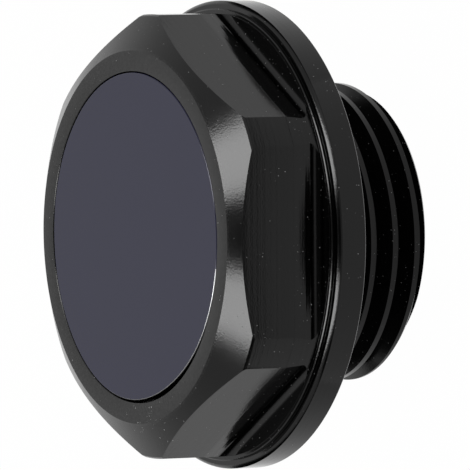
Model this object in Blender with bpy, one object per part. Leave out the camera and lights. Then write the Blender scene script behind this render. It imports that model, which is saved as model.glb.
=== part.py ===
"""Screw-in oil filler cap, turned and milled from bar, with a plate let into the face of its head.

The axis is Z. The cap stands on the end of its threaded spigot, at Z = 0, with its head up.
Lengths are in metres.
"""
import math

import bmesh
import bpy
from mathutils import Matrix

# Head: a hexagon whose corners are turned down, then chamfered up to a flat ring
ACROSS_FLATS = 0.0320
CORNER_TRIM = 0.00078
HEAD_HEIGHT = 0.00765
CHAMFER_WIDTH = 0.00285
CHAMFER_ANGLE = math.radians(30.0)
RING_WIDTH = 0.00152
CORNER_EDGE = 0.00013
FLAT_FILLET = 0.00085
HEX_TURN = math.radians(-2.68)

# How far each flat is milled past half the distance across the flats
FLAT_OVERCUTS = (0.0, 0.00013, 0.0, 0.0, 0.0, 0.00007)

# Collar and flange below the head
COLLAR_STEP = 0.00036
COLLAR_EDGE = 0.00010
COLLAR_UNDERCUT = 0.00006
COLLAR_HEIGHT = 0.00030
FLANGE_STEP = 0.00064
FLANGE_THICKNESS = 0.00245
FLANGE_FRONT_ROUND = 0.00075
FLANGE_ROUND_START = math.radians(27.0)
FLANGE_ROUND_END = math.radians(57.0)
FLANGE_BACK_CHAMFER = 0.00010

# Spigot with its right-hand thread; the crest stands at CREST_HEIGHT on the +X side
SPIGOT_LENGTH = 0.0100
THREAD_DIAMETER = 0.02388
THREAD_PITCH = 0.0020
THREAD_FLANK = math.radians(30.0)
CREST_FLAT = 0.00045
ROOT_FLAT = 0.00008
CREST_HEIGHT = 0.00136
END_CHAMFER = 0.0010
RELIEF_UNDERCUT = 0.00010
RELIEF_CHAMFER = 0.00040

# Blind bore that lightens the spigot
BORE_DIAMETER = 0.0150
BORE_DEPTH = 0.0090
BORE_POINT_ANGLE = math.radians(118.0)
BORE_CHAMFER = 0.00050

# Plate and its adhesive pad, in the recess in the face; the plate lies a little off its middle
RECESS_CHAMFER = 0.00012
DISC_THICKNESS = 0.00080
DISC_EDGE = 0.00010
DISC_CLEARANCE = 0.00015
DISC_SINK = 0.00015
DISC_SHIFT = (-0.00008, 0.000055)
PAD_THICKNESS = 0.00050
PAD_INSET = 0.00080

# Sealing ring on the relief behind the flange, let a little way into the flange's back
SEAL_SECTION = 0.00250
SEAL_SEAT_DEPTH = 0.00060

# Clearance between pieces that seat on each other, and how far a cutter runs past the metal
SEAT_GAP = 0.00030
CUT_MARGIN = 0.00030

# Fineness of the round shapes
TURNED_STEPS = 72
FILLET_STEPS = 5
EDGE_ROUND_STEPS = 3
THREAD_STEPS = 60
SEAL_STEPS = 48
SEAL_SECTION_STEPS = 12
WELD_DISTANCE = 1e-7
SHARP_ANGLE = math.radians(25.0)

# Radii and heights that follow from the driving dimensions
CORNER_RADIUS = ACROSS_FLATS / math.sqrt(3.0) - CORNER_TRIM
RING_RADIUS = CORNER_RADIUS - CHAMFER_WIDTH
RECESS_RADIUS = RING_RADIUS - RING_WIDTH - RECESS_CHAMFER
DISC_RADIUS = RECESS_RADIUS - DISC_CLEARANCE
COLLAR_RADIUS = CORNER_RADIUS + COLLAR_STEP
FLANGE_RADIUS = COLLAR_RADIUS + FLANGE_STEP
THREAD_RADIUS = THREAD_DIAMETER / 2.0
THREAD_DEPTH = (THREAD_PITCH - CREST_FLAT - ROOT_FLAT) / (2.0 * math.tan(THREAD_FLANK))
ROOT_RADIUS = THREAD_RADIUS - THREAD_DEPTH
RELIEF_RADIUS = ROOT_RADIUS - RELIEF_UNDERCUT
SEAL_INNER_RADIUS = RELIEF_RADIUS + SEAT_GAP
SEAL_SEAT_RADIUS = SEAL_INNER_RADIUS + SEAL_SECTION + SEAT_GAP
BORE_RADIUS = BORE_DIAMETER / 2.0

FLANGE_BACK_Z = SPIGOT_LENGTH
FLANGE_FRONT_Z = FLANGE_BACK_Z + FLANGE_THICKNESS
SHOULDER_Z = FLANGE_FRONT_Z + COLLAR_HEIGHT
FACE_Z = SHOULDER_Z + HEAD_HEIGHT
SEAL_SEAT_Z = FLANGE_BACK_Z + SEAL_SEAT_DEPTH
SEAL_TOP_Z = SEAL_SEAT_Z - SEAT_GAP
RELIEF_Z = SEAL_TOP_Z - SEAL_SECTION - SEAT_GAP
DISC_TOP_Z = FACE_Z - DISC_SINK
DISC_BOTTOM_Z = DISC_TOP_Z - DISC_THICKNESS
PAD_TOP_Z = DISC_BOTTOM_Z - SEAT_GAP
PAD_BOTTOM_Z = PAD_TOP_Z - PAD_THICKNESS
RECESS_FLOOR_Z = PAD_BOTTOM_Z - SEAT_GAP


def clear_scene():
    """Removes every object that the file starts with."""
    for item in list(bpy.data.objects):
        bpy.data.objects.remove(item, do_unlink=True)


def principled(name, colour, roughness, metallic):
    """Returns a plain material for one piece."""
    material = bpy.data.materials.new(name)
    material.use_nodes = True
    shader = material.node_tree.nodes["Principled BSDF"]
    shader.inputs["Base Color"].default_value = (*colour, 1.0)
    shader.inputs["Roughness"].default_value = roughness
    shader.inputs["Metallic"].default_value = metallic
    return material


def placed(name, shape, material=None):
    """Turns a bmesh into an object in the scene and frees the bmesh."""
    bmesh.ops.recalc_face_normals(shape, faces=shape.faces)
    mesh = bpy.data.meshes.new(name)
    shape.to_mesh(mesh)
    shape.free()
    mesh.shade_smooth()
    mesh.set_sharp_from_angle(angle=SHARP_ANGLE)
    item = bpy.data.objects.new(name, mesh)
    bpy.context.scene.collection.objects.link(item)
    if material is not None:
        mesh.materials.append(material)
    return item


def revolved(profile, steps, closed=False):
    """Spins a profile of (radius, height) points about Z into a bmesh.

    An open profile starts and ends on the axis. A closed one joins its last point to its first.
    """
    shape = bmesh.new()
    points = [shape.verts.new((radius, 0.0, height)) for radius, height in profile]
    lines = [shape.edges.new(pair) for pair in zip(points, points[1:])]
    if closed:
        lines.append(shape.edges.new((points[-1], points[0])))
    bmesh.ops.spin(shape, geom=points + lines, axis=(0.0, 0.0, 1.0), cent=(0.0, 0.0, 0.0),
                   angle=2.0 * math.pi, steps=steps, use_merge=True)
    bmesh.ops.remove_doubles(shape, verts=shape.verts, dist=WELD_DISTANCE)
    return shape


def arc(centre, radius, start, end, steps):
    """Returns the points of an arc in the (radius, height) plane, its two ends included."""
    angles = [start + (end - start) * step / steps for step in range(steps + 1)]
    return [(centre[0] + radius * math.cos(angle), centre[1] + radius * math.sin(angle))
            for angle in angles]


def head_profile():
    """Outline of the turned head, from the middle of the recess out and down to the collar."""
    slope = math.tan(CHAMFER_ANGLE)
    chamfer_end = FACE_Z - CHAMFER_WIDTH * slope
    return [
        (0.0, RECESS_FLOOR_Z),
        (RECESS_RADIUS, RECESS_FLOOR_Z),
        (RECESS_RADIUS, FACE_Z - RECESS_CHAMFER),
        (RECESS_RADIUS + RECESS_CHAMFER, FACE_Z),
        (RING_RADIUS, FACE_Z),
        (CORNER_RADIUS - CORNER_EDGE, chamfer_end + CORNER_EDGE * slope),
        (CORNER_RADIUS, chamfer_end - CORNER_EDGE),
        (CORNER_RADIUS, SHOULDER_Z),
        (COLLAR_RADIUS - COLLAR_EDGE, SHOULDER_Z),
    ]


def flange_profile():
    """Outline of the collar and the flange, from the collar's edge down to the seat of the seal."""
    round_centre = (FLANGE_RADIUS - FLANGE_FRONT_ROUND * math.sin(FLANGE_ROUND_END),
                    FLANGE_FRONT_Z - FLANGE_FRONT_ROUND * math.cos(FLANGE_ROUND_START))
    return [
        (COLLAR_RADIUS, SHOULDER_Z - COLLAR_EDGE * math.tan(CHAMFER_ANGLE)),
        (COLLAR_RADIUS - COLLAR_UNDERCUT, FLANGE_FRONT_Z),
        *arc(round_centre, FLANGE_FRONT_ROUND, 0.5 * math.pi - FLANGE_ROUND_START,
             0.5 * math.pi - FLANGE_ROUND_END, EDGE_ROUND_STEPS),
        (FLANGE_RADIUS, FLANGE_BACK_Z + FLANGE_BACK_CHAMFER),
        (FLANGE_RADIUS - FLANGE_BACK_CHAMFER, FLANGE_BACK_Z),
        (SEAL_SEAT_RADIUS, FLANGE_BACK_Z),
        (SEAL_SEAT_RADIUS, SEAL_SEAT_Z),
    ]


def spigot_profile():
    """Outline of the spigot before it is threaded, from the relief down and up into the bore."""
    point_depth = BORE_RADIUS / math.tan(BORE_POINT_ANGLE / 2.0)
    return [
        (RELIEF_RADIUS, SEAL_SEAT_Z),
        (RELIEF_RADIUS, RELIEF_Z),
        (THREAD_RADIUS - RELIEF_CHAMFER, RELIEF_Z),
        (THREAD_RADIUS, RELIEF_Z - RELIEF_CHAMFER),
        (THREAD_RADIUS, END_CHAMFER),
        (THREAD_RADIUS - END_CHAMFER, 0.0),
        (BORE_RADIUS + BORE_CHAMFER, 0.0),
        (BORE_RADIUS, BORE_CHAMFER),
        (BORE_RADIUS, BORE_DEPTH),
        (0.0, BORE_DEPTH + point_depth),
    ]


def flat_cutter(overcut):
    """Bull-nosed milling cutter's path for one flat, on the +X side.

    It clears everything outside the flat and above the shoulder, and leaves a fillet between them.
    """
    flat_x = ACROSS_FLATS / 2.0 - overcut
    far = FLANGE_RADIUS + CUT_MARGIN
    top = FACE_Z + CUT_MARGIN
    section = [
        (far, top),
        (flat_x, top),
        *arc((flat_x + FLAT_FILLET, SHOULDER_Z + FLAT_FILLET), FLAT_FILLET,
             math.pi, 1.5 * math.pi, FILLET_STEPS),
        (far, SHOULDER_Z),
    ]
    shape = bmesh.new()
    near_end = shape.faces.new([shape.verts.new((x, -far, z)) for x, z in section])
    swept = bmesh.ops.extrude_face_region(shape, geom=[near_end], use_keep_orig=True)
    moved = [part for part in swept["geom"] if isinstance(part, bmesh.types.BMVert)]
    bmesh.ops.translate(shape, verts=moved, vec=(0.0, 2.0 * far, 0.0))
    return shape


def thread_cutter():
    """Vee-shaped groove of the thread, swept from below the spigot's end up into the relief."""
    outer_radius = THREAD_RADIUS + CUT_MARGIN
    root_half = ROOT_FLAT / 2.0
    outer_half = root_half + (outer_radius - ROOT_RADIUS) * math.tan(THREAD_FLANK)
    section = [(ROOT_RADIUS, -root_half), (outer_radius, -outer_half),
               (outer_radius, outer_half), (ROOT_RADIUS, root_half)]
    groove_height = CREST_HEIGHT - THREAD_PITCH / 2.0
    lowest = -2.0 * THREAD_PITCH
    highest = (RELIEF_Z + SEAL_TOP_Z) / 2.0
    turns = (highest - lowest) / THREAD_PITCH
    steps = math.ceil(turns * THREAD_STEPS)
    shape = bmesh.new()
    start = shape.faces.new([shape.verts.new((radius, 0.0, lowest + rise)) for radius, rise in section])
    start_turn = Matrix.Rotation(2.0 * math.pi * (lowest - groove_height) / THREAD_PITCH, 4, "Z")
    bmesh.ops.transform(shape, matrix=start_turn, verts=shape.verts)
    bmesh.ops.spin(shape, geom=[start, *start.edges, *start.verts], axis=(0.0, 0.0, 1.0),
                   cent=(0.0, 0.0, 0.0), dvec=(0.0, 0.0, (highest - lowest) / steps),
                   angle=2.0 * math.pi * turns, steps=steps)
    return shape


def cut(item, name, shape, turn=0.0):
    """Cuts a shape, turned about Z, out of an object with a Boolean modifier."""
    cutter = placed(name, shape)
    cutter.matrix_world = Matrix.Rotation(turn, 4, "Z")
    cutter.hide_render = True
    cutter.display_type = "WIRE"
    modifier = item.modifiers.new(name, "BOOLEAN")
    modifier.operation = "DIFFERENCE"
    modifier.solver = "EXACT"
    modifier.object = cutter


def make_cap_body():
    """The one-piece body: turned, then milled to a hexagon, then threaded."""
    material = principled("black_anodised", (0.012, 0.012, 0.013), 0.22, 0.0)
    blank = revolved(head_profile() + flange_profile() + spigot_profile(), TURNED_STEPS)
    body = placed("cap_body", blank, material)
    for side, overcut in enumerate(FLAT_OVERCUTS):
        cut(body, f"flat_cutter_{side}", flat_cutter(overcut), HEX_TURN + side * math.pi / 3.0)
    cut(body, "thread_cutter", thread_cutter())


def make_inlay_disc():
    """The thin round plate that lies just below the ring of the face, a little off its middle."""
    material = principled("plate_finish", (0.020, 0.020, 0.026), 0.30, 0.0)
    profile = [
        (0.0, DISC_TOP_Z),
        (DISC_RADIUS - DISC_EDGE, DISC_TOP_Z),
        (DISC_RADIUS, DISC_TOP_Z - DISC_EDGE),
        (DISC_RADIUS, DISC_BOTTOM_Z),
        (0.0, DISC_BOTTOM_Z),
    ]
    shape = revolved(profile, TURNED_STEPS)
    bmesh.ops.translate(shape, verts=shape.verts, vec=(*DISC_SHIFT, 0.0))
    placed("inlay_disc", shape, material)


def make_adhesive_pad():
    """The double-sided pad that holds the plate in its recess."""
    material = principled("pad_foam", (0.030, 0.030, 0.030), 0.80, 0.0)
    radius = DISC_RADIUS - PAD_INSET
    profile = [(0.0, PAD_TOP_Z), (radius, PAD_TOP_Z), (radius, PAD_BOTTOM_Z), (0.0, PAD_BOTTOM_Z)]
    placed("adhesive_pad", revolved(profile, TURNED_STEPS), material)


def make_o_ring():
    """The rubber ring round the relief, in its shallow seat in the back of the flange."""
    material = principled("seal_rubber", (0.015, 0.015, 0.015), 0.60, 0.0)
    section_radius = SEAL_SECTION / 2.0
    centre = (SEAL_INNER_RADIUS + section_radius, SEAL_TOP_Z - section_radius)
    section = arc(centre, section_radius, 0.0, -2.0 * math.pi, SEAL_SECTION_STEPS)[:-1]
    placed("o_ring", revolved(section, SEAL_STEPS, closed=True), material)


def main():
    """Builds the cap."""
    clear_scene()
    make_cap_body()
    make_inlay_disc()
    make_adhesive_pad()
    make_o_ring()


main()
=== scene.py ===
"""Finished surfaces, lights and camera of a screw-in oil filler cap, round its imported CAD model.

The cap stands on the end of its spigot with its axis along Z, its head up and its origin in the
middle of the spigot's end. Lengths are in metres.
"""
import math

import bmesh
import bpy
from mathutils import Matrix, Vector


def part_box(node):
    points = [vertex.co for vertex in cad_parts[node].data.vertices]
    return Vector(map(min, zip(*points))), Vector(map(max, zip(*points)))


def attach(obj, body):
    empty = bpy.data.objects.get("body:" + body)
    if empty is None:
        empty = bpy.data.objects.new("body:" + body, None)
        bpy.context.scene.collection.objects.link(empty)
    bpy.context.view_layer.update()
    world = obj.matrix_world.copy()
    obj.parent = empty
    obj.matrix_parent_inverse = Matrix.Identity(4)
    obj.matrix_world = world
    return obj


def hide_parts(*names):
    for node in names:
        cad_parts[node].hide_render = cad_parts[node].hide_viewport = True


bl_info = {
    "name": "Oil Filler Cap",
    "version": (1, 0, 0),
    "blender": (4, 5, 0),
    "location": "3D View > Sidebar > Filler Cap",
    "description": "Builds the machined surfaces, finishes, lights and camera of an oil filler cap",
    "category": "Object",
}

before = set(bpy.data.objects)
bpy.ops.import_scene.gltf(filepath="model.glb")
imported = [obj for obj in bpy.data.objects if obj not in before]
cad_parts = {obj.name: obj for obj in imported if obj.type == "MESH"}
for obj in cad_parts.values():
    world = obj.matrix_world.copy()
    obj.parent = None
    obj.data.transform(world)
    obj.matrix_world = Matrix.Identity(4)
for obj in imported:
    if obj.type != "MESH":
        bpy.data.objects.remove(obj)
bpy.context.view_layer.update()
FACE_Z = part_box("cap_body")[1].z
BODY = "root"

# Fineness of the finished meshes
TURNED_STEPS = 288
THREAD_STEPS = 180
FLAT_FILLET_STEPS = 16
LEAN_STEPS = 8
ROUND_STEPS = 4
PLATE_EDGE_STEPS = 6
SEAL_STEPS = 160
SEAL_SECTION_STEPS = 40
CARD_STEPS = 32
HOOD_STEPS = 16

# Points closer than these are one: in a turned shape, and after the cuts
WELD_DISTANCE = 1e-7
SLIVER = 1e-6

# Edges sharper than this stay sharp when the rest is shaded smooth
SHARP_ANGLE = math.radians(24.0)

# How far the cutters reach past what they cut
CUT_MARGIN = 0.0003

# Flats of the hexagon
HEX_SIDES = 6

# The largest share of a line that the round at its end takes up
ROUND_SHARE = 0.4

# How far from the body's steps its tool marks and its dust change
HEAD_START = 0.00015
RIM_MARGIN = 0.0002
FOOT_REACH = 0.00285
FOOT_FADE = 0.0008
FACE_MARGIN = 0.0001

# Height of a unit normal above which a surface lies level, and below which it is a wall
LEVEL_LIMIT = 0.95
WALL_LIMIT = 0.2

# How deep a bump of 1 is, and the depth of each kind of tool mark as a share of it
BUMP_DISTANCE = 0.00001
FINE_MARKS = 0.3
TURNED_MARKS = 0.5
WALL_MARKS = 2.4
FOOT_MARKS = 8.0
GRAIN_MARKS = 4.0

# Where the light grain of the face starts in its noise, and how fast it grows from there
GRAIN_START = 0.42
GRAIN_GAIN = 4.0

# How far noise takes a roughness or a colour up or down, how rough dust is, and how rough the bare metal
# of the plate's painted edge highlight is
UNEVENNESS = 0.1
DUST_ROUGHNESS = 0.8
HIGHLIGHT_ROUGHNESS = 0.35

# Share of the plate's edge break that stays lacquered above the stretch made bare metal as a painted
# highlight
LACQUER_SHARE = 0.1

# Weight of the way out from the axis, so that it only counts where a surface lies level
OUTWARD_WEIGHT = 0.02

# Heights of the lowest edges of the cards that stand near the floor
LOW_CARD_START = 0.0005
FRONT_CARD_HEIGHT = 0.0003


def length(name, description, default):
    """A length that a user may change."""
    return bpy.props.FloatProperty(name=name, description=description, default=default, min=0.0,
                                   precision=5, subtype="DISTANCE", unit="LENGTH")


def lengths(name, description, defaults):
    """A row of lengths that a user may change."""
    return bpy.props.FloatVectorProperty(name=name, description=description, default=defaults,
                                         size=len(defaults), precision=5, subtype="NONE",
                                         unit="LENGTH")


def angle(name, description, degrees):
    """An angle that a user may change."""
    return bpy.props.FloatProperty(name=name, description=description, default=math.radians(degrees),
                                   subtype="ANGLE", unit="ROTATION")


def colour(name, description, default):
    """A colour that a user may change."""
    return bpy.props.FloatVectorProperty(name=name, description=description, default=default, size=3,
                                         min=0.0, max=1.0, subtype="COLOR")


def factor(name, description, default):
    """A share from 0 to 1 that a user may change."""
    return bpy.props.FloatProperty(name=name, description=description, default=default, min=0.0,
                                   max=1.0, precision=3, subtype="FACTOR")


def amount(name, description, default):
    """A plain number that a user may change."""
    return bpy.props.FloatProperty(name=name, description=description, default=default, min=0.0,
                                   precision=3)


class CapBodySizes(bpy.types.PropertyGroup):
    """Sizes of the one-piece body.

    Most are the CAD model's. The recess's edge and the flats' foot, fillet and end are finer here.
    """

    across_flats: length("Across flats", "Distance between opposite flats of the hexagon", 0.0320)
    corner_trim: length("Corner trim", "How far the corners are turned down", 0.00078)
    head_height: length("Head height", "From the collar's top to the face", 0.00765)
    chamfer_width: length("Chamfer width", "Radial width of the head's chamfer", 0.00285)
    chamfer_angle: angle("Chamfer angle", "Slope of the head's chamfer", 30.0)
    corner_edge: length("Corner edge", "Edge break between the chamfer and the corners", 0.00013)
    ring_width: length("Ring width", "Width of the flat ring round the recess", 0.00160)
    recess_chamfer: length("Recess chamfer", "Chamfer at the recess's mouth", 0.00004)
    recess_depth: length("Recess depth", "Depth of the recess for the plate", 0.00205)
    flat_fillet: length("Flat fillet", "Fillet between each flat and its end", 0.00072)
    flat_lean: angle("Flat lean", "How far the foot of each flat leans in", 3.5)
    lean_height: length("Lean height", "Height of the flats' foot above their end", 0.0026)
    lean_radius: length("Lean radius", "Radius of the bend where the foot starts", 0.0147)
    flat_lift: length("Flat lift", "How far above the collar the milled flats end", 0.00005)
    hex_turn: angle("Hexagon turn", "Turn of the hexagon about the axis", -2.68)
    overcuts: lengths("Overcuts", "How far each flat is milled past half the distance across them",
                      (0.0, 0.00013, 0.0, 0.0, 0.0, 0.00007))
    collar_step: length("Collar step", "Collar's radius beyond the corners", 0.00036)
    collar_edge: length("Collar edge", "Radial width of the collar's chamfer", 0.00010)
    collar_undercut: length("Collar undercut", "How far the collar draws in at the flange", 0.00006)
    collar_height: length("Collar height", "Height of the collar", 0.00030)
    flange_step: length("Flange step", "Flange's radius beyond the collar", 0.00064)
    flange_thickness: length("Flange thickness", "Thickness of the flange", 0.00245)
    front_round: length("Front round", "Radius of the flange's front edge", 0.00075)
    round_start: angle("Round start", "Slope where the front edge starts", 27.0)
    round_end: angle("Round end", "Slope where the front edge meets the rim", 57.0)
    back_chamfer: length("Back chamfer", "Chamfer on the flange's back edge", 0.00010)
    spigot_length: length("Spigot length", "From the flange's back to the spigot's end", 0.0100)
    thread_diameter: length("Thread diameter", "Diameter over the crests", 0.02388)
    thread_pitch: length("Thread pitch", "Pitch of the right-hand thread", 0.0020)
    thread_flank: angle("Thread flank", "Slope of the thread's flanks", 30.0)
    crest_flat: length("Crest flat", "Width of the thread's crests", 0.00045)
    root_flat: length("Root flat", "Width of the thread's roots", 0.00008)
    crest_height: length("Crest height", "Height of a crest above the spigot's end at +X", 0.00136)
    end_chamfer: length("End chamfer", "Chamfer at the spigot's end", 0.0010)
    relief_undercut: length("Relief undercut", "Relief's depth below the thread's roots", 0.00010)
    relief_chamfer: length("Relief chamfer", "Chamfer where the thread starts", 0.00040)
    bore_diameter: length("Bore diameter", "Diameter of the blind bore", 0.0150)
    bore_depth: length("Bore depth", "Depth of the bore's full diameter", 0.0090)
    bore_point: angle("Bore point", "Whole angle of the drill's point", 118.0)
    bore_chamfer: length("Bore chamfer", "Chamfer at the bore's mouth", 0.00050)
    edge_round: length("Edge round", "Round left on the turned edges", 0.00003)


class CapFittingSizes(bpy.types.PropertyGroup):
    """Sizes of the plate and the seal, and the clearance between pieces."""

    plate_thickness: length("Plate thickness", "Thickness of the plate", 0.00094)
    plate_edge: length("Plate edge", "Edge break of the plate", 0.00010)
    plate_clearance: length("Plate clearance", "Gap round the plate", 0.00006)
    plate_sink: length("Plate sink", "How far the plate lies below the ring", 0.00001)
    plate_shift: lengths("Plate shift", "How far the plate lies off the recess's middle",
                         (0.0, -0.00004))
    plate_dent: length("Plate dent", "How far the plate's rim draws in where it is out of round", 0.00040)
    plate_dent_turn: angle("Plate dent turn", "Where the rim draws in most", -68.0)
    plate_dent_width: angle("Plate dent width", "How wide the drawn-in stretch is", 31.0)
    seal_section: length("Seal section", "Thickness of the sealing ring", 0.00250)
    seal_seat_depth: length("Seal seat depth", "Depth of the seal's seat in the flange", 0.00060)
    seat_gap: length("Seat gap", "Clearance between pieces that seat on each other", 0.00030)


class CapFinish(bpy.types.PropertyGroup):
    """Colours and finishes."""

    body_colour: colour("Body colour", "Colour of the anodised body", (0.0004, 0.0004, 0.0004))
    face_grain: colour("Face grain", "Colour of the fine grain on the face's ring", (0.011, 0.011, 0.011))
    body_roughness: factor("Body roughness", "Roughness of the anodised body", 0.18)
    milled_roughness: factor("Milled roughness", "Roughness of the milled flats and the shoulder", 0.09)
    body_brushing: factor("Body brushing", "How much rougher the body is across its tool marks", 0.78)
    body_ior: amount("Body IOR", "Index of refraction of the anodised layer", 1.285)
    plate_colour: colour("Plate colour", "Colour of the plate", (0.0070, 0.0070, 0.0300))
    plate_roughness: factor("Plate roughness", "Roughness of the plate", 0.16)
    plate_ior: amount("Plate IOR", "Index of refraction of the plate's lacquer", 1.31)
    rubber_colour: colour("Rubber colour", "Colour of the sealing ring", (0.012, 0.012, 0.012))
    pad_colour: colour("Pad colour", "Colour of the adhesive pad", (0.030, 0.030, 0.030))
    # The plate's edge turns to bright bare metal on one stretch only: a painted highlight where the edge
    # catches the light, the rest of the edge staying lacquered as if in the gap's shade.
    edge_highlight_colour: colour("Edge colour", "Colour of the plate's worn edge", (0.20, 0.20, 0.20))
    highlight_turn: angle("Worn turn", "Middle of the stretch where the plate's edge is worn bare", -61.9)
    highlight_reach: angle("Worn reach", "How far that stretch goes to each side", 50.1)
    dust_colour: colour("Dust colour", "Colour of the specks of dust", (0.35, 0.35, 0.35))
    dust_spot: lengths("Dust spot", "Where more dust than elsewhere lies on the face",
                       (0.0017, -0.0147, 0.0204))
    dust_spot_size: length("Dust spot size", "How far that dust reaches", 0.0032)


class CapStage(bpy.types.PropertyGroup):
    """Camera, lamps, cards and floor."""

    view_tilt: angle("View tilt", "Angle between the line of sight and the cap's axis", 60.07)
    view_roll: angle("View roll", "Turn of the cap's axis from the picture's level", 1.672)
    view_distance: length("View distance", "From the camera to the face", 0.9233)
    view_right: length("View right", "Camera's shift to the right of the face's middle", 0.00802)
    view_up: length("View up", "Camera's shift above the face's middle", 0.000177)
    lens: amount("Lens", "Focal length in millimetres", 889.7)
    lamp_gloss: amount("Lamp gloss", "Brightness of each lamp in a glossy surface", 17.0)
    lamp_level: amount("Lamp level", "Brightness of each lamp for matt surfaces", 4.0)
    lamp_height: length("Lamp height", "From the face up to the lamps", 0.45)
    lamp_forward: length("Lamp forward", "How far the lamps stand towards the camera", 0.0675)
    lamp_apart: length("Lamp apart", "From the cap's axis out to each lamp's middle", 0.181)
    lamp_length: length("Lamp length", "Length of each lamp", 0.42)
    lamp_width: length("Lamp width", "Width of each lamp", 0.161)
    lamp_splay: angle("Lamp splay", "How far the lamps open out towards the camera", 16.2)
    fill_level: amount("Fill level", "Brightness of the surroundings for matt surfaces", 0.45)
    hood_radius: length("Hood radius", "From the face to the grey card over the cap", 0.60)
    hood_back: angle("Hood back", "Where the grey card starts behind the cap's axis", -1.0)
    hood_front: angle("Hood front", "Where the grey card ends in front of the cap's axis", 42.0)
    hood_upper: length("Hood upper", "Grey card's reach past the axis on the picture's upper side", 0.30)
    hood_lower: length("Hood lower", "Grey card's reach past the axis on the picture's lower side", 0.39)
    hood_level: amount("Hood level", "Brightness of the grey card", 0.02)
    low_radius: length("Low card radius", "Radius of the low black card round the cap", 0.050)
    low_height: length("Low card height", "Height of the low black card", 0.029)
    low_lower: angle("Low card lower", "Low card's reach round the picture's lower side", 130.0)
    low_upper: angle("Low card upper", "Low card's reach round the picture's upper side", 125.0)
    front_inner: length("Front inner", "From the axis to the near edge of the card in front", 0.021)
    front_outer: length("Front outer", "From the axis to the far edge of the card in front", 0.048)
    front_reach: angle("Front reach", "How far the card in front goes round to each side", 60.0)
    front_level: amount("Front level", "Brightness of the card on the floor in front", 1.25)
    side_level: amount("Side level", "Brightness of the card on the upper side", 1.5)
    side_radius: length("Side radius", "From the axis to the two side cards", 0.40)
    side_start: angle("Side start", "Where the side cards start, from straight in front", 48.0)
    side_end: angle("Side end", "Where the side cards end, from straight in front", 78.0)
    side_low: angle("Side low", "Slope from the face up to the side cards' lower edge", 21.0)
    side_high: angle("Side high", "Slope from the face up to the side cards' upper edge", 52.0)
    floor_size: length("Floor size", "Side of the floor", 6.0)
    floor_glow: factor("Floor glow", "Share of the floor's white that shadows don't reach", 0.99)


def arc_points(centre, radius, start, end, steps):
    """Points of an arc in the (radius, height) plane, its two ends included."""
    turns = [start + (end - start) * step / steps for step in range(steps + 1)]
    return [(centre[0] + radius * math.cos(turn), centre[1] + radius * math.sin(turn)) for turn in turns]


def rounded(outline, radius, steps=ROUND_STEPS):
    """The outline with each inner corner replaced by a small arc."""
    points = [Vector(point) for point in outline]
    result = [points[0]]
    for before, corner, after in zip(points, points[1:], points[2:]):
        way_in = (before - corner).normalized()
        way_out = (after - corner).normalized()
        half = way_in.angle(way_out) / 2.0
        longest = ROUND_SHARE * min((before - corner).length, (after - corner).length)
        reach = min(radius / math.tan(half), longest)
        first = corner + way_in * reach
        last = corner + way_out * reach
        for step in range(steps + 1):
            share = step / steps
            result.append(first * (1 - share) ** 2 + corner * 2 * share * (1 - share) + last * share ** 2)
    result.append(points[-1])
    return [tuple(point) for point in result]


def revolved(profile, steps, closed=False):
    """Spins a profile of (radius, height) points about Z into a bmesh."""
    shape = bmesh.new()
    points = [shape.verts.new((radius, 0.0, height)) for radius, height in profile]
    lines = [shape.edges.new(pair) for pair in zip(points, points[1:])]
    if closed:
        lines.append(shape.edges.new((points[-1], points[0])))
    bmesh.ops.spin(shape, geom=points + lines, axis=(0.0, 0.0, 1.0), cent=(0.0, 0.0, 0.0),
                   angle=2.0 * math.pi, steps=steps, use_merge=True)
    bmesh.ops.remove_doubles(shape, verts=shape.verts, dist=WELD_DISTANCE)
    return shape


def placed(name, shape):
    """Turns a bmesh into an object in the scene and frees the bmesh."""
    bmesh.ops.recalc_face_normals(shape, faces=shape.faces)
    mesh = bpy.data.meshes.new(name)
    shape.to_mesh(mesh)
    shape.free()
    item = bpy.data.objects.new(name, mesh)
    bpy.context.scene.collection.objects.link(item)
    return item


def cut_away(item, cutters):
    """Cuts the cutters out of an object, keeps the result as its mesh and removes them."""
    for cutter in cutters:
        modifier = item.modifiers.new(cutter.name, "BOOLEAN")
        modifier.operation = "DIFFERENCE"
        modifier.solver = "EXACT"
        modifier.object = cutter
    graph = bpy.context.evaluated_depsgraph_get()
    result = bpy.data.meshes.new_from_object(item.evaluated_get(graph))
    item.modifiers.clear()
    item.data = result
    for cutter in cutters:
        bpy.data.objects.remove(cutter, do_unlink=True)
    shape = bmesh.new()
    shape.from_mesh(result)
    bmesh.ops.remove_doubles(shape, verts=shape.verts, dist=SLIVER)
    bmesh.ops.dissolve_degenerate(shape, edges=shape.edges, dist=SLIVER)
    shape.to_mesh(result)
    shape.free()


def finished(piece, material, node):
    """Shades a piece, gives it its material and lets it stand for a CAD node."""
    piece.data.materials.clear()
    piece.data.materials.append(material)
    piece.data.shade_smooth()
    piece.data.set_sharp_from_angle(angle=SHARP_ANGLE)
    weighted = piece.modifiers.new("even_normals", "WEIGHTED_NORMAL")
    weighted.keep_sharp = True
    weighted.weight = 50
    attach(piece, BODY)
    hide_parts(node)


def body_heights(body, fittings):
    """Heights of the body's steps above the spigot's end."""
    flange_back = body.spigot_length
    flange_front = flange_back + body.flange_thickness
    shoulder = flange_front + body.collar_height
    seal_seat = flange_back + fittings.seal_seat_depth
    seal_top = seal_seat - fittings.seat_gap
    relief_end = seal_top - fittings.seal_section - fittings.seat_gap
    return {"flange_back": flange_back, "flange_front": flange_front, "shoulder": shoulder,
            "face": shoulder + body.head_height, "seal_seat": seal_seat, "seal_top": seal_top,
            "relief_end": relief_end}


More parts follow.
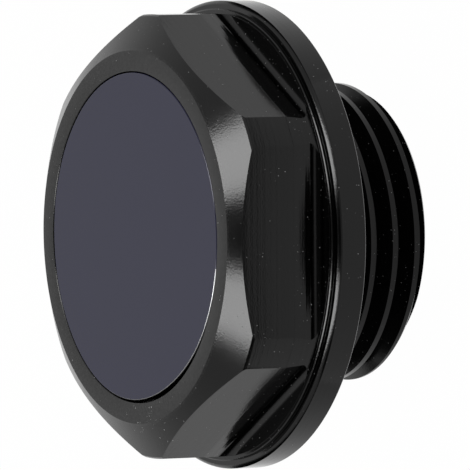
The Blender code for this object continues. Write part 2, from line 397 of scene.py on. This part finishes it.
def body_radii(body, fittings):
    """Radii of the body's steps."""
    corner = body.across_flats / math.sqrt(3.0) - body.corner_trim
    ring = corner - body.chamfer_width
    collar = corner + body.collar_step
    thread = body.thread_diameter / 2.0
    slope = math.tan(body.thread_flank)
    root = thread - (body.thread_pitch - body.crest_flat - body.root_flat) / (2.0 * slope)
    relief = root - body.relief_undercut
    seal = relief + fittings.seat_gap
    recess = ring - body.ring_width - body.recess_chamfer
    return {"corner": corner, "ring": ring, "recess": recess, "collar": collar,
            "flange": collar + body.flange_step, "thread": thread, "root": root, "relief": relief,
            "seal": seal, "seal_seat": seal + fittings.seal_section + fittings.seat_gap}


def turned_outline(body, fittings):
    """Outline of the turned blank, from the recess out over the flange to the spigot and its bore."""
    z = body_heights(body, fittings)
    r = body_radii(body, fittings)
    slope = math.tan(body.chamfer_angle)
    chamfer_end = z["face"] - body.chamfer_width * slope
    bore = body.bore_diameter / 2.0
    recess_floor = z["face"] - body.recess_depth
    head = [
        (0.0, recess_floor),
        (r["recess"], recess_floor),
        (r["recess"], z["face"] - body.recess_chamfer),
        (r["recess"] + body.recess_chamfer, z["face"]),
        (r["ring"], z["face"]),
        (r["corner"] - body.corner_edge, chamfer_end + body.corner_edge * slope),
        (r["corner"], chamfer_end - body.corner_edge),
        (r["corner"], z["shoulder"]),
        (r["collar"] - body.collar_edge, z["shoulder"]),
        (r["collar"], z["shoulder"] - body.collar_edge * slope),
        (r["collar"] - body.collar_undercut, z["flange_front"]),
    ]
    centre = (r["flange"] - body.front_round * math.sin(body.round_end),
              z["flange_front"] - body.front_round * math.cos(body.round_start))
    front = arc_points(centre, body.front_round, math.pi / 2.0 - body.round_start,
                       math.pi / 2.0 - body.round_end, 2 * ROUND_STEPS)
    flange = [
        (r["flange"], z["flange_back"] + body.back_chamfer),
        (r["flange"] - body.back_chamfer, z["flange_back"]),
        (r["seal_seat"], z["flange_back"]),
        (r["seal_seat"], z["seal_seat"]),
        (r["relief"], z["seal_seat"]),
        (r["relief"], z["relief_end"]),
        (r["thread"] - body.relief_chamfer, z["relief_end"]),
        (r["thread"], z["relief_end"] - body.relief_chamfer),
        (r["thread"], body.end_chamfer),
        (r["thread"] - body.end_chamfer, 0.0),
        (bore + body.bore_chamfer, 0.0),
        (bore, body.bore_chamfer),
        (bore, body.bore_depth),
        (0.0, body.bore_depth + bore / math.tan(body.bore_point / 2.0)),
    ]
    rounded_head = rounded([*head, front[0], front[1]], body.edge_round)
    rounded_flange = rounded([front[-2], front[-1], *flange], body.edge_round)
    return rounded_head[:-1] + front[1:-1] + rounded_flange[1:]


def flat_cutter(body, fittings, side):
    """Path of the bull-nosed milling cutter along one flat, whose foot leans in a little."""
    z = body_heights(body, fittings)
    flat = body.across_flats / 2.0 - body.overcuts[side]
    far = body_radii(body, fittings)["flange"] + CUT_MARGIN
    top = z["face"] + CUT_MARGIN
    end_height = z["shoulder"] + body.flat_lift
    lean = body.flat_lean
    bend_middle = (flat - body.lean_radius, end_height + body.lean_height)
    bend = arc_points(bend_middle, body.lean_radius, 0.0, -lean, LEAN_STEPS)
    foot_drop = bend[-1][1] - end_height - body.flat_fillet * (1.0 + math.sin(lean))
    foot = bend[-1][0] - foot_drop * math.tan(lean)
    nose_middle = (foot + body.flat_fillet * math.cos(lean), end_height + body.flat_fillet)
    nose = arc_points(nose_middle, body.flat_fillet, math.pi - lean, 1.5 * math.pi, FLAT_FILLET_STEPS)
    shape = bmesh.new()
    outline = [(far, top), (flat, top), *bend, *nose, (far, end_height)]
    end = shape.faces.new([shape.verts.new((x, -far, height)) for x, height in outline])
    swept = bmesh.ops.extrude_face_region(shape, geom=[end], use_keep_orig=True)
    moved = [part for part in swept["geom"] if isinstance(part, bmesh.types.BMVert)]
    bmesh.ops.translate(shape, verts=moved, vec=(0.0, 2.0 * far, 0.0))
    turn = Matrix.Rotation(body.hex_turn + side * 2.0 * math.pi / HEX_SIDES, 4, "Z")
    bmesh.ops.transform(shape, matrix=turn, verts=shape.verts)
    return placed(f"flat_cutter_{side}", shape)


def thread_cutter(body, fittings):
    """The thread's groove, swept from below the spigot's end up into the relief."""
    z = body_heights(body, fittings)
    r = body_radii(body, fittings)
    outer = r["thread"] + CUT_MARGIN
    root_half = body.root_flat / 2.0
    outer_half = root_half + (outer - r["root"]) * math.tan(body.thread_flank)
    section = [(r["root"], -root_half), (outer, -outer_half), (outer, outer_half), (r["root"], root_half)]
    lowest = -2.0 * body.thread_pitch
    highest = (z["relief_end"] + z["seal_top"]) / 2.0
    turns = (highest - lowest) / body.thread_pitch
    steps = math.ceil(turns * THREAD_STEPS)
    groove = body.crest_height - body.thread_pitch / 2.0
    shape = bmesh.new()
    start = shape.faces.new([shape.verts.new((radius, 0.0, lowest + rise)) for radius, rise in section])
    start_turn = Matrix.Rotation(2.0 * math.pi * (lowest - groove) / body.thread_pitch, 4, "Z")
    bmesh.ops.transform(shape, matrix=start_turn, verts=shape.verts)
    bmesh.ops.spin(shape, geom=[start, *start.edges, *start.verts], axis=(0.0, 0.0, 1.0),
                   cent=(0.0, 0.0, 0.0), dvec=(0.0, 0.0, (highest - lowest) / steps),
                   angle=2.0 * math.pi * turns, steps=steps)
    return placed("thread_cutter", shape)


def drawn_in(fittings, point):
    """How far the plate's rim lies inside its circle, in the direction of a point."""
    apart = math.remainder(math.atan2(point.y, point.x) - fittings.plate_dent_turn, 2.0 * math.pi)
    return fittings.plate_dent * math.exp(-(apart / fittings.plate_dent_width) ** 2)


class NodeTree:
    """Short way of building a material's nodes."""

    def __init__(self, name):
        self.material = bpy.data.materials.new(name)
        self.material.use_nodes = True
        self.tree = self.material.node_tree
        self.shader = self.tree.nodes["Principled BSDF"]

    def node(self, kind, inputs=None, **settings):
        """Adds a node, sets its properties, and sets or links its inputs."""
        made = self.tree.nodes.new(kind)
        for name, value in settings.items():
            setattr(made, name, value)
        for key, value in (inputs or {}).items():
            self.feed(made.inputs[key], value)
        return made

    def feed(self, socket, value):
        """Links an output to a socket, or sets the socket's value."""
        if isinstance(value, bpy.types.NodeSocket):
            self.tree.links.new(value, socket)
        else:
            socket.default_value = value

    def maths(self, operation, first, second=0.0, clamp=False):
        """Adds a Math node and returns its output."""
        return self.node("ShaderNodeMath", {0: first, 1: second}, operation=operation,
                         use_clamp=clamp).outputs[0]

    def blend(self, share, first, second):
        """Mixes two numbers and returns the output."""
        return self.node("ShaderNodeMix", {"Factor": share, "A": first, "B": second},
                         data_type="FLOAT").outputs["Result"]

    def blend_colour(self, share, first, second):
        """Mixes two colours and returns the output."""
        made = self.node("ShaderNodeMix", data_type="RGBA")
        sockets = [socket for socket in made.inputs if socket.type == "RGBA"]
        self.feed(made.inputs["Factor"], share)
        self.feed(sockets[0], first)
        self.feed(sockets[1], second)
        return [socket for socket in made.outputs if socket.type == "RGBA"][0]

    def vector(self, operation, *values):
        """Adds a Vector Math node and returns its vector."""
        return self.node("ShaderNodeVectorMath", dict(enumerate(values)), operation=operation).outputs[0]

    def measure(self, operation, *values):
        """Adds a Vector Math node and returns its number."""
        made = self.node("ShaderNodeVectorMath", dict(enumerate(values)), operation=operation)
        return made.outputs["Value"]

    def parts(self, vector):
        """Adds a Separate XYZ node and returns its three outputs."""
        return self.node("ShaderNodeSeparateXYZ", {"Vector": vector}).outputs

    def noise(self, place, scale, detail=2.0):
        """Adds a noise pattern in space and returns its value."""
        return self.node("ShaderNodeTexNoise", {"Vector": place, "Scale": scale,
                                                "Detail": detail}).outputs["Fac"]

    def stripes(self, along, scale):
        """Adds a noise pattern that changes with one number only, and returns its value."""
        return self.node("ShaderNodeTexNoise", {"W": along, "Scale": scale, "Detail": 2.0},
                         noise_dimensions="1D").outputs["Fac"]

    def bump(self, height, strength):
        """Gives the shader a bump of a given height pattern."""
        made = self.node("ShaderNodeBump", {"Height": height, "Strength": strength,
                                            "Distance": BUMP_DISTANCE})
        self.feed(self.shader.inputs["Normal"], made.outputs["Normal"])


def opaque(rgb):
    """A colour with full alpha."""
    return (rgb[0], rgb[1], rgb[2], 1.0)


def dust(nodes, position, cell, reach, share, fading=3.0):
    """Specks of dust: 0 between them, and up to 1 inside a speck, each with its own strength.

    One speck lies in each of a share of the cells of a 3D pattern, so only those near a surface show.
    The more fading, the fewer of them are strong.
    """
    spots = nodes.node("ShaderNodeTexVoronoi", {"Vector": position, "Scale": 1.0 / cell},
                       voronoi_dimensions="3D", feature="F1")
    near = nodes.maths("LESS_THAN", spots.outputs["Distance"], reach)
    chosen = nodes.node("ShaderNodeSeparateColor", {"Color": spots.outputs["Color"]})
    some = nodes.maths("LESS_THAN", chosen.outputs[0], share)
    strength = nodes.maths("POWER", chosen.outputs[1], fading)
    return nodes.maths("MULTIPLY", nodes.maths("MULTIPLY", near, some), strength)


def near_spot(nodes, position, spot, size):
    """1 at a spot, fading to 0 at the given distance from it."""
    apart = nodes.measure("DISTANCE", position, tuple(spot))
    return nodes.maths("SUBTRACT", 1.0, nodes.maths("DIVIDE", apart, size), clamp=True)


def outwards(nodes, position):
    """The direction level away from the axis."""
    return nodes.vector("NORMALIZE", nodes.vector("MULTIPLY", position, (1.0, 1.0, 0.0)))


def uneven(nodes, pattern, level):
    """A level that a pattern takes a little down and up."""
    return nodes.blend(pattern, level * (1.0 - UNEVENNESS), level * (1.0 + UNEVENNESS))


class BodySurface:
    """Where a point of the body lies, as outputs that its marks, its dust and its roughness share."""

    def __init__(self, nodes, heights):
        self.place = nodes.node("ShaderNodeTexCoord").outputs["Object"]
        self.height = nodes.parts(self.place)[2]
        facing = nodes.node("ShaderNodeNewGeometry").outputs["True Normal"]
        upright = nodes.maths("ABSOLUTE", nodes.parts(facing)[2])
        self.level = nodes.maths("GREATER_THAN", upright, LEVEL_LIMIT)
        self.wall = nodes.maths("LESS_THAN", upright, WALL_LIMIT)
        self.on_face = nodes.maths("GREATER_THAN", self.height, heights["face"] - FACE_MARGIN)
        self.on_head = nodes.maths("GREATER_THAN", self.height, heights["flange_front"] + HEAD_START)
        self.on_spigot = nodes.maths("LESS_THAN", self.height, heights["flange_back"] - RIM_MARGIN)
        below = nodes.maths("SUBTRACT", heights["shoulder"] + FOOT_REACH, self.height)
        self.below_flats = nodes.maths("MULTIPLY", below, 1.0 / FOOT_FADE, clamp=True)


def machining_marks(nodes, surface):
    """Fine tool marks: round the turned surfaces, and level along the flats, deeper at their foot."""
    radius = nodes.measure("LENGTH", nodes.vector("MULTIPLY", surface.place, (1.0, 1.0, 0.0)))
    along = nodes.blend(surface.level, surface.height, radius)
    fine = nodes.stripes(along, 9000.0)
    coarse = nodes.stripes(along, 2200.0)
    foot = nodes.maths("MULTIPLY", surface.below_flats, surface.on_head)
    at_foot = nodes.maths("MULTIPLY", foot, FOOT_MARKS)
    milled = nodes.maths("MULTIPLY", surface.wall, nodes.maths("ADD", at_foot, WALL_MARKS))
    waves = nodes.maths("MULTIPLY", coarse, nodes.maths("ADD", milled, TURNED_MARKS))
    grain = nodes.maths("MULTIPLY", nodes.noise(surface.place, 7000.0), GRAIN_MARKS)
    return nodes.maths("ADD", nodes.maths("MULTIPLY", fine, FINE_MARKS), nodes.maths("ADD", grain, waves))


def across_marks(nodes, position):
    """The direction across the tool marks: away from the axis or up, along the surface."""
    little = nodes.vector("MULTIPLY", outwards(nodes, position), (OUTWARD_WEIGHT,) * 3)
    facing = nodes.node("ShaderNodeNewGeometry").outputs["Normal"]
    leaning = nodes.vector("MULTIPLY_ADD", facing, (1.0, 1.0, 0.0), little)
    along = nodes.vector("CROSS_PRODUCT", (0.0, 0.0, 1.0), leaning)
    return nodes.vector("NORMALIZE", nodes.vector("CROSS_PRODUCT", facing, along))


def body_dust(nodes, surface, finish):
    """Dust on the body: fine specks, a few large ones, and those that gather at one spot.

    The fine ones are denser on the shoulder, at the foot of the flats and on the spigot.
    """
    off_rim = nodes.maths("MAXIMUM", surface.on_head, surface.on_spigot)
    sheltered = nodes.maths("MULTIPLY", surface.below_flats, off_rim)
    fine_share = nodes.maths("ADD", nodes.maths("MULTIPLY", sheltered, 0.6), 0.25)
    fine = dust(nodes, surface.place, cell=0.0003, reach=0.13, share=fine_share)
    large = dust(nodes, surface.place, cell=0.0012, reach=0.05, share=0.5)
    spot = near_spot(nodes, surface.place, finish.dust_spot, finish.dust_spot_size)
    gathered = dust(nodes, surface.place, cell=0.0003, reach=0.20, share=spot, fading=1.2)
    return nodes.maths("MAXIMUM", nodes.maths("MAXIMUM", fine, large), gathered)


def anodised_material(finish, heights):
    """Black anodised aluminium with fine tool marks and a little dust."""
    nodes = NodeTree("black_anodised")
    surface = BodySurface(nodes, heights)
    specks = body_dust(nodes, surface, finish)
    above = nodes.maths("SUBTRACT", nodes.noise(surface.place, 6500.0), GRAIN_START)
    sharper = nodes.maths("MULTIPLY", above, GRAIN_GAIN, clamp=True)
    grain = nodes.maths("MULTIPLY", sharper, surface.on_face)
    grained = nodes.blend_colour(grain, opaque(finish.body_colour), opaque(finish.face_grain))
    nodes.feed(nodes.shader.inputs["Base Color"],
               nodes.blend_colour(specks, grained, opaque(finish.dust_colour)))
    turned = uneven(nodes, nodes.noise(surface.place, 260.0, 3.0), finish.body_roughness)
    shoulder = nodes.maths("MULTIPLY", surface.level, surface.below_flats)
    milled = nodes.maths("MAXIMUM", surface.wall, shoulder)
    clean = nodes.blend(milled, turned, finish.milled_roughness)
    nodes.feed(nodes.shader.inputs["Roughness"], nodes.blend(specks, clean, DUST_ROUGHNESS))
    nodes.shader.inputs["IOR"].default_value = finish.body_ior
    nodes.shader.inputs["Anisotropic"].default_value = finish.body_brushing
    nodes.feed(nodes.shader.inputs["Tangent"], across_marks(nodes, surface.place))
    nodes.bump(machining_marks(nodes, surface), 0.15)
    return nodes.material


def plate_material(finish, edge_top, edge_bottom):
    """Dark blue-black lacquered plate. Its edge break between two heights is bare metal on one side only,
    a painted highlight where the edge catches the light, and its side below the edge is painted black as
    shade in the gap round the plate.
    """
    nodes = NodeTree("plate_lacquer")
    place = nodes.node("ShaderNodeTexCoord").outputs["Object"]
    height = nodes.parts(place)[2]
    cloud = nodes.noise(place, 180.0, 3.0)
    deeper = tuple((1.0 - UNEVENNESS) * channel for channel in finish.plate_colour)
    shade = nodes.blend_colour(cloud, opaque(deeper), opaque(finish.plate_colour))
    below_top = nodes.maths("LESS_THAN", height, edge_top)
    below_edge = nodes.maths("LESS_THAN", height, edge_bottom)
    # Painted highlight: on one stretch the edge break turns to bright bare metal, standing in for the
    # light it catches there.
    highlight_way = (math.cos(finish.highlight_turn), math.sin(finish.highlight_turn), 0.0)
    sideways = nodes.measure("DOT_PRODUCT", outwards(nodes, place), highlight_way)
    one_side = nodes.maths("GREATER_THAN", sideways, math.cos(finish.highlight_reach))
    bare = nodes.maths("MULTIPLY", nodes.maths("SUBTRACT", below_top, below_edge), one_side)
    # Painted shade: the plate's side below its edge break is black, standing in for the shade in the
    # narrow gap round the plate.
    lacquer_and_shade = nodes.blend_colour(below_edge, shade, (0.0, 0.0, 0.0, 1.0))
    nodes.feed(nodes.shader.inputs["Base Color"],
               nodes.blend_colour(bare, lacquer_and_shade, opaque(finish.edge_highlight_colour)))
    nodes.feed(nodes.shader.inputs["Roughness"],
               nodes.blend(bare, uneven(nodes, cloud, finish.plate_roughness), HIGHLIGHT_ROUGHNESS))
    nodes.feed(nodes.shader.inputs["Metallic"], bare)
    nodes.shader.inputs["IOR"].default_value = finish.plate_ior
    return nodes.material


def rubber_material(finish):
    """Matt black rubber with a fine grain."""
    nodes = NodeTree("seal_rubber")
    grain = nodes.noise(nodes.node("ShaderNodeTexCoord").outputs["Object"], 9000.0)
    shade = nodes.blend_colour(grain, opaque(finish.rubber_colour), (0.02, 0.02, 0.02, 1.0))
    nodes.feed(nodes.shader.inputs["Base Color"], shade)
    nodes.feed(nodes.shader.inputs["Roughness"], nodes.blend(grain, 0.45, 0.6))
    nodes.bump(grain, 0.2)
    return nodes.material


def pad_material(finish):
    """Black adhesive foam."""
    nodes = NodeTree("pad_foam")
    place = nodes.node("ShaderNodeTexCoord").outputs["Object"]
    cells = nodes.node("ShaderNodeTexVoronoi", {"Vector": place, "Scale": 6000.0})
    walls = (0.01, 0.01, 0.01, 1.0)
    shade = nodes.blend_colour(cells.outputs["Distance"], opaque(finish.pad_colour), walls)
    nodes.feed(nodes.shader.inputs["Base Color"], shade)
    nodes.shader.inputs["Roughness"].default_value = 0.85
    return nodes.material


class CAP_OT_machined_body(bpy.types.Operator):
    """Turns the blank, mills the hexagon, cuts the thread and gives the body its anodised finish"""

    bl_idname = "cap.machined_body"
    bl_label = "Machined Body"

    def execute(self, context):
        scene = context.scene
        body = scene.cap_body_sizes
        fittings = scene.cap_fitting_sizes
        piece = placed("machined_body", revolved(turned_outline(body, fittings), TURNED_STEPS))
        cutters = [flat_cutter(body, fittings, side) for side in range(HEX_SIDES)]
        cutters.append(thread_cutter(body, fittings))
        cut_away(piece, cutters)
        material = anodised_material(scene.cap_finish, body_heights(body, fittings))
        finished(piece, material, "cap_body")
        return {"FINISHED"}


class CAP_OT_face_plate(bpy.types.Operator):
    """Makes the round plate that lies in the recess of the face"""

    bl_idname = "cap.face_plate"
    bl_label = "Face Plate"

    def execute(self, context):
        scene = context.scene
        fittings = scene.cap_fitting_sizes
        radius = body_radii(scene.cap_body_sizes, fittings)["recess"] - fittings.plate_clearance
        top = FACE_Z - fittings.plate_sink
        bottom = top - fittings.plate_thickness
        edge = fittings.plate_edge
        outline = [(0.0, top), *arc_points((radius - edge, top - edge), edge, math.pi / 2.0, 0.0,
                                            PLATE_EDGE_STEPS), (radius, bottom), (0.0, bottom)]
        shape = revolved(outline, TURNED_STEPS)
        for point in shape.verts:
            inner = 1.0 - drawn_in(fittings, point.co) / radius
            point.co = (point.co.x * inner, point.co.y * inner, point.co.z)
        bmesh.ops.translate(shape, verts=shape.verts, vec=(*fittings.plate_shift, 0.0))
        piece = placed("face_plate", shape)
        lacquer_end = top - LACQUER_SHARE * edge
        material = plate_material(scene.cap_finish, lacquer_end, top - edge)
        finished(piece, material, "inlay_disc")
        return {"FINISHED"}


class CAP_OT_seal_and_pad(bpy.types.Operator):
    """Makes the sealing ring behind the flange and gives the adhesive pad its material"""

    bl_idname = "cap.seal_and_pad"
    bl_label = "Seal and Pad"

    def execute(self, context):
        scene = context.scene
        body = scene.cap_body_sizes
        fittings = scene.cap_fitting_sizes
        half = fittings.seal_section / 2.0
        inner = body_radii(body, fittings)["seal"]
        middle = (inner + half, body_heights(body, fittings)["seal_top"] - half)
        section = arc_points(middle, half, 0.0, -2.0 * math.pi, SEAL_SECTION_STEPS)[:-1]
        piece = placed("sealing_ring", revolved(section, SEAL_STEPS, closed=True))
        finished(piece, rubber_material(scene.cap_finish), "o_ring")
        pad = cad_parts["adhesive_pad"]
        pad.data.materials.clear()
        pad.data.materials.append(pad_material(scene.cap_finish))
        return {"FINISHED"}


def seen_or_mirrored(tree):
    """Light Path's camera, glossy and transmission rays as one factor."""
    path = tree.nodes.new("ShaderNodeLightPath")
    total = path.outputs["Is Camera Ray"]
    for name in ("Is Glossy Ray", "Is Transmission Ray"):
        together = tree.nodes.new("ShaderNodeMath")
        together.operation = "MAXIMUM"
        tree.links.new(total, together.inputs[0])
        tree.links.new(path.outputs[name], together.inputs[1])
        total = together.outputs[0]
    return total


def make_floor(stage):
    """White floor that keeps a faint shadow of the cap."""
    shape = bmesh.new()
    bmesh.ops.create_grid(shape, x_segments=1, y_segments=1, size=stage.floor_size / 2.0)
    floor = placed("floor", shape)
    material = bpy.data.materials.new("floor_white")
    material.use_nodes = True
    tree = material.node_tree
    tree.nodes.clear()
    matt = tree.nodes.new("ShaderNodeBsdfDiffuse")
    matt.inputs["Color"].default_value = (0.8, 0.8, 0.8, 1.0)
    glow = tree.nodes.new("ShaderNodeEmission")
    glow.inputs["Strength"].default_value = 1.0
    shown = tree.nodes.new("ShaderNodeMixShader")
    shown.inputs[0].default_value = stage.floor_glow
    tree.links.new(matt.outputs[0], shown.inputs[1])
    tree.links.new(glow.outputs[0], shown.inputs[2])
    choice = tree.nodes.new("ShaderNodeMixShader")
    tree.links.new(seen_or_mirrored(tree), choice.inputs[0])
    tree.links.new(matt.outputs[0], choice.inputs[1])
    tree.links.new(shown.outputs[0], choice.inputs[2])
    output = tree.nodes.new("ShaderNodeOutputMaterial")
    tree.links.new(choice.outputs[0], output.inputs["Surface"])
    floor.data.materials.append(material)


def make_world(scene, stage):
    """White surroundings, dimmer for matt surfaces than for what is seen or mirrored."""
    world = bpy.data.worlds.new("studio")
    world.use_nodes = True
    tree = world.node_tree
    background = tree.nodes["Background"]
    background.inputs["Color"].default_value = (1.0, 1.0, 1.0, 1.0)
    level = tree.nodes.new("ShaderNodeMix")
    level.data_type = "FLOAT"
    level.inputs["A"].default_value = stage.fill_level
    level.inputs["B"].default_value = 1.0
    tree.links.new(seen_or_mirrored(tree), level.inputs["Factor"])
    tree.links.new(level.outputs["Result"], background.inputs["Strength"])
    scene.world = world


def make_lamp(name, side, level, glossy, stage):
    """One long soft lamp that lies level above the cap, on one side of its axis.

    A lamp either shows in glossy surfaces or lights matt ones, so that each has its own level.
    """
    data = bpy.data.lights.new(name, "AREA")
    data.shape = "RECTANGLE"
    data.size = stage.lamp_length
    data.size_y = stage.lamp_width
    data.energy = level * math.pi * stage.lamp_length * stage.lamp_width
    lamp = bpy.data.objects.new(name, data)
    lamp.visible_camera = False
    lamp.visible_glossy = glossy
    lamp.visible_diffuse = not glossy
    place = Vector((stage.lamp_forward, side * stage.lamp_apart, FACE_Z + stage.lamp_height))
    turn = Matrix.Rotation(side * stage.lamp_splay, 4, "Z")
    lamp.matrix_world = Matrix.Translation(place) @ turn
    bpy.context.scene.collection.objects.link(lamp)


def make_card(name, shape, level):
    """A studio card that only glossy surfaces see, at an even brightness."""
    card = placed(name, shape)
    material = bpy.data.materials.new(name)
    material.use_nodes = True
    tree = material.node_tree
    tree.nodes.clear()
    glow = tree.nodes.new("ShaderNodeEmission")
    glow.inputs["Strength"].default_value = level
    output = tree.nodes.new("ShaderNodeOutputMaterial")
    tree.links.new(glow.outputs[0], output.inputs["Surface"])
    card.data.materials.append(material)
    card.visible_camera = False
    card.visible_diffuse = False
    card.visible_shadow = False
    card.visible_transmission = False


def sector(inner, outer, start, end, low, high):
    """A strip from (inner, low) to (outer, high), spun about the axis from one angle to another."""
    shape = bmesh.new()
    turn = Matrix.Rotation(start, 4, "Z")
    ends = [shape.verts.new(turn @ Vector((radius, 0.0, height)))
            for radius, height in ((inner, low), (outer, high))]
    edge = shape.edges.new(ends)
    bmesh.ops.spin(shape, geom=[*ends, edge], axis=(0.0, 0.0, 1.0), cent=(0.0, 0.0, 0.0),
                   angle=end - start, steps=CARD_STEPS)
    return shape


def make_hood(stage):
    """The curved grey card over the cap."""
    hood = bmesh.new()
    first = Matrix.Rotation(stage.hood_back, 4, "Y") @ Vector((0.0, 0.0, stage.hood_radius))
    ends = [hood.verts.new((first.x, across, first.z + FACE_Z))
            for across in (-stage.hood_lower, stage.hood_upper)]
    edge = hood.edges.new(ends)
    bmesh.ops.spin(hood, geom=[*ends, edge], axis=(0.0, 1.0, 0.0), cent=(0.0, 0.0, FACE_Z),
                   angle=stage.hood_front - stage.hood_back, steps=HOOD_STEPS)
    make_card("grey_hood", hood, stage.hood_level)


def make_low_cards(stage):
    """The black card round the cap, open at the back, and the bright card on the floor in front."""
    low = sector(stage.low_radius, stage.low_radius, -stage.low_lower, stage.low_upper, LOW_CARD_START,
                 stage.low_height)
    make_card("low_card", low, 0.0)
    front = sector(stage.front_inner, stage.front_outer, -stage.front_reach, stage.front_reach,
                   FRONT_CARD_HEIGHT, FRONT_CARD_HEIGHT)
    make_card("front_card", front, stage.front_level)


def make_side_cards(stage):
    """The bright card on the upper side and the black card on the lower side."""
    low_edge = FACE_Z + stage.side_radius * math.tan(stage.side_low)
    high_edge = FACE_Z + stage.side_radius * math.tan(stage.side_high)
    upper = sector(stage.side_radius, stage.side_radius, stage.side_start, stage.side_end, low_edge,
                   high_edge)
    make_card("upper_side_card", upper, stage.side_level)
    lower = sector(stage.side_radius, stage.side_radius, -stage.side_end, -stage.side_start, low_edge,
                   high_edge)
    make_card("lower_side_card", lower, 0.0)


def make_camera(scene, stage):
    """The camera, which looks at the cap's face and side with the cap's axis nearly level."""
    tilt, roll = stage.view_tilt, stage.view_roll
    right = Vector((math.cos(tilt) * math.cos(roll), -math.sin(roll), -math.sin(tilt) * math.cos(roll)))
    up = Vector((math.cos(tilt) * math.sin(roll), math.cos(roll), -math.sin(tilt) * math.sin(roll)))
    back = Vector((math.sin(tilt), 0.0, math.cos(tilt)))
    data = bpy.data.cameras.new("camera")
    data.lens = stage.lens
    data.sensor_width = 36.0
    data.clip_start = 0.01
    data.clip_end = 20.0
    camera = bpy.data.objects.new("camera", data)
    place = Vector((0.0, 0.0, FACE_Z)) + right * stage.view_right + up * stage.view_up
    place += back * stage.view_distance
    camera.matrix_world = Matrix.Translation(place) @ Matrix((right, up, back)).transposed().to_4x4()
    scene.collection.objects.link(camera)
    scene.camera = camera


class CAP_OT_stage(bpy.types.Operator):
    """Makes the floor, the surroundings, the lamps, the cards and the camera"""

    bl_idname = "cap.stage"
    bl_label = "Stage"

    def execute(self, context):
        scene = context.scene
        stage = scene.cap_stage
        make_floor(stage)
        make_world(scene, stage)
        for side, word in ((1.0, "upper"), (-1.0, "lower")):
            make_lamp(f"{word}_gloss_lamp", side, stage.lamp_gloss, True, stage)
            make_lamp(f"{word}_matt_lamp", side, stage.lamp_level, False, stage)
        make_hood(stage)
        make_low_cards(stage)
        make_side_cards(stage)
        make_camera(scene, stage)
        scene.view_settings.view_transform = "Standard"
        return {"FINISHED"}


class CAP_PT_panel(bpy.types.Panel):
    """Lists the sizes, the finishes and the steps"""

    bl_idname = "CAP_PT_panel"
    bl_label = "Filler Cap"
    bl_space_type = "VIEW_3D"
    bl_region_type = "UI"
    bl_category = "Filler Cap"

    def draw(self, context):
        for step in STEPS:
            self.layout.operator(step.bl_idname)
        for name in SETTINGS:
            group = getattr(context.scene, name)
            box = self.layout.box()
            for key in group.bl_rna.properties.keys():
                if key not in ("rna_type", "name"):
                    box.prop(group, key)


SETTINGS = {
    "cap_body_sizes": CapBodySizes,
    "cap_fitting_sizes": CapFittingSizes,
    "cap_finish": CapFinish,
    "cap_stage": CapStage,
}
STEPS = (CAP_OT_machined_body, CAP_OT_face_plate, CAP_OT_seal_and_pad, CAP_OT_stage)
CLASSES = (*SETTINGS.values(), *STEPS, CAP_PT_panel)


def register():
    """Registers the classes and hangs the settings on the scene."""
    for item in CLASSES:
        bpy.utils.register_class(item)
    for name, group in SETTINGS.items():
        setattr(bpy.types.Scene, name, bpy.props.PointerProperty(type=group))


def unregister():
    """Takes the settings and the classes away again."""
    for name in SETTINGS:
        delattr(bpy.types.Scene, name)
    for item in reversed(CLASSES):
        bpy.utils.unregister_class(item)


def main():
    """Builds everything."""
    register()
    bpy.ops.cap.stage()
    bpy.ops.cap.machined_body()
    bpy.ops.cap.face_plate()
    bpy.ops.cap.seal_and_pad()


if __name__ == "__main__":
    main()
